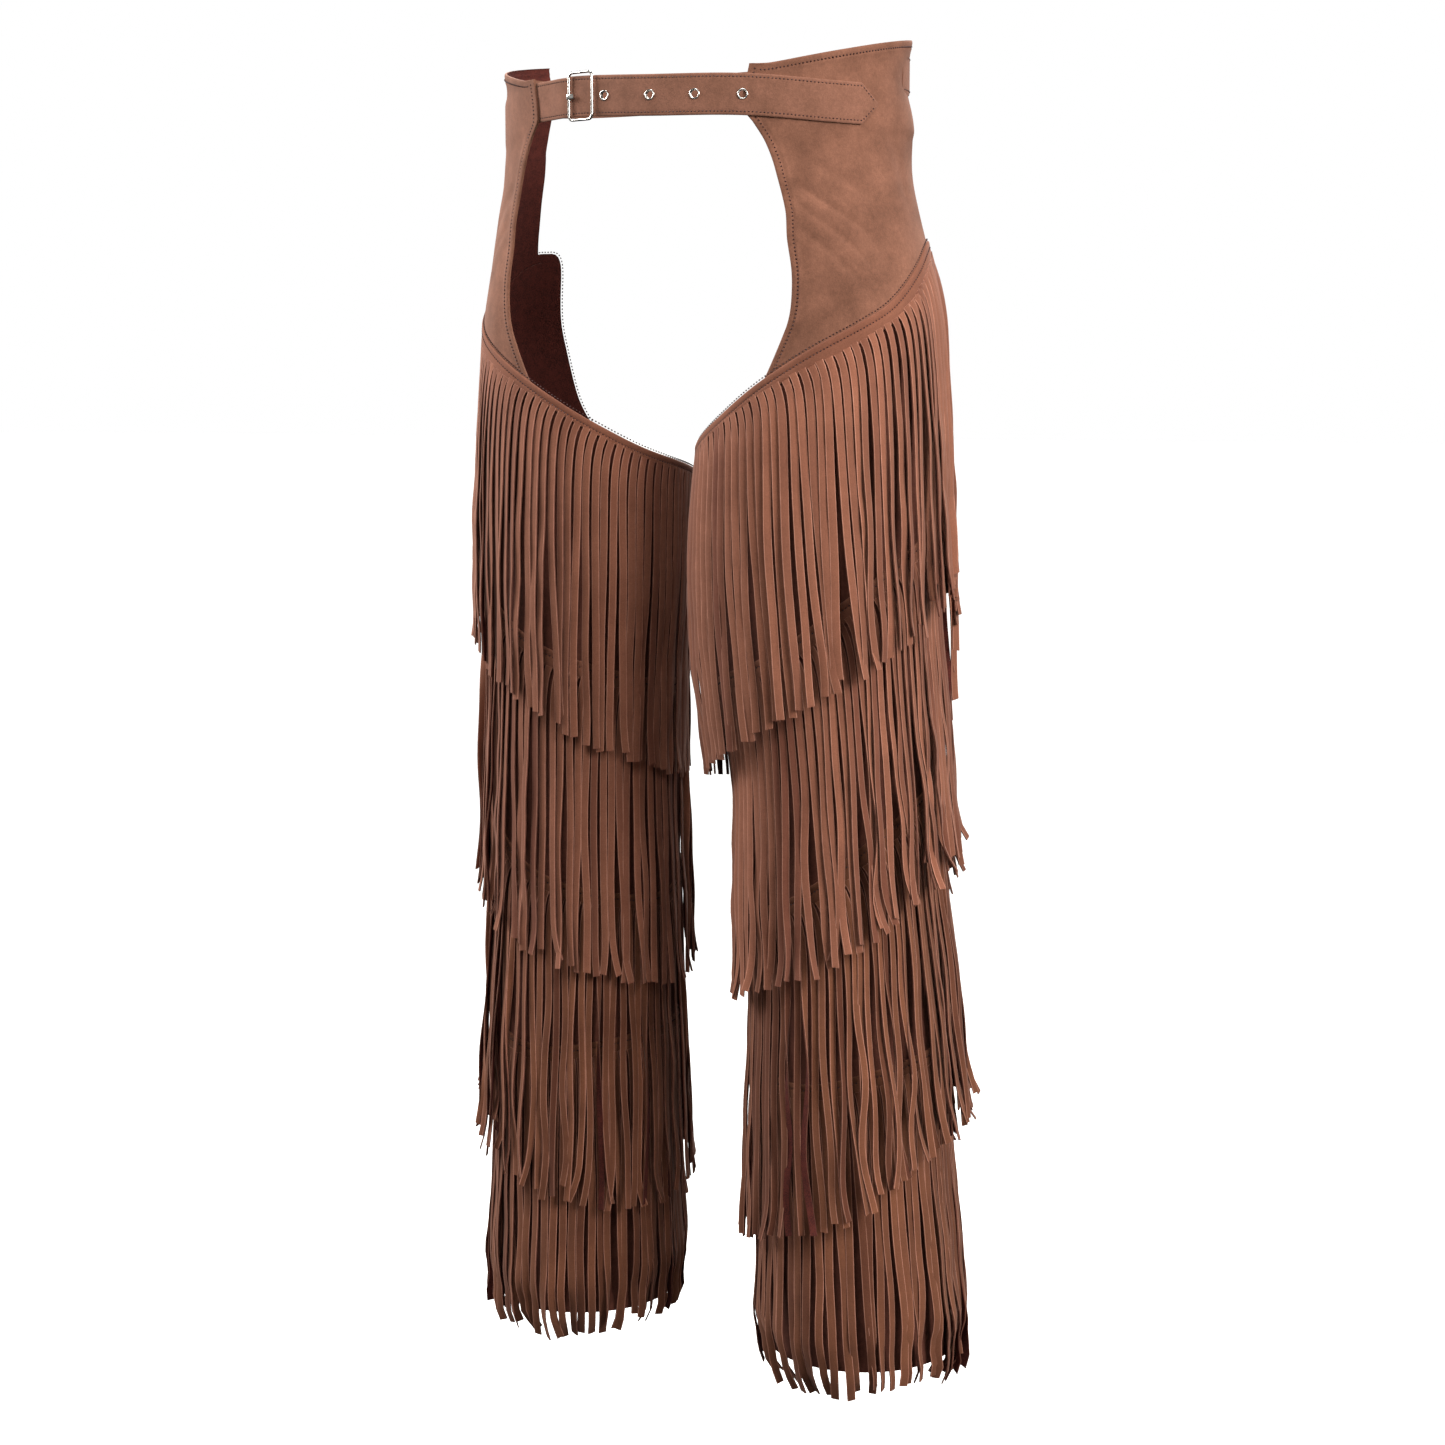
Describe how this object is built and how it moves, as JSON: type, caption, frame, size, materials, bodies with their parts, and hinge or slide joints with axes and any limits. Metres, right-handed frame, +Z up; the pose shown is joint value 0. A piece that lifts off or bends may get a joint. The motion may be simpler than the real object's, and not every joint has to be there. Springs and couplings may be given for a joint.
{
  "type": "fringed chaps",
  "caption": "Fringed faux suede chaps in their worn, hollow pose: two open legs with tiered strand fringe, hip panels, a front belt with buckle and eyelets, and a plain back strap.",
  "frame": {"origin": "middle of the waist opening, level with the middle of the front belt", "axes": "+Z up, -Y to the front, +X to the wearer's left"},
  "size_m": [0.4259, 0.2325, 1.0091],
  "materials": {
    "faux_suede": "brown faux suede, brushed nap",
    "faux_suede_fringe": "brown faux suede cut into flat strands",
    "faux_suede_belt": "brown faux suede, doubled and edge stitched",
    "nickel_plate": "polished nickel plate"
  },
  "bodies": {
    "root": {"hip_panel_left": "faux_suede", "hip_panel_right": "faux_suede", "leg_left": "faux_suede", "leg_right": "faux_suede", "fringe_left_1": "faux_suede_fringe", "fringe_left_2": "faux_suede_fringe", "fringe_left_3": "faux_suede_fringe", "fringe_left_4": "faux_suede_fringe", "fringe_right_1": "faux_suede_fringe", "fringe_right_2": "faux_suede_fringe", "fringe_right_3": "faux_suede_fringe", "fringe_right_4": "faux_suede_fringe", "belt_strap": "faux_suede_belt", "buckle_strap": "faux_suede_belt", "back_strap": "faux_suede_belt", "eyelet_1": "nickel_plate", "eyelet_2": "nickel_plate", "eyelet_3": "nickel_plate", "eyelet_4": "nickel_plate", "buckle_frame": "nickel_plate", "buckle_prong": "nickel_plate"}
  },
  "joints": []
}
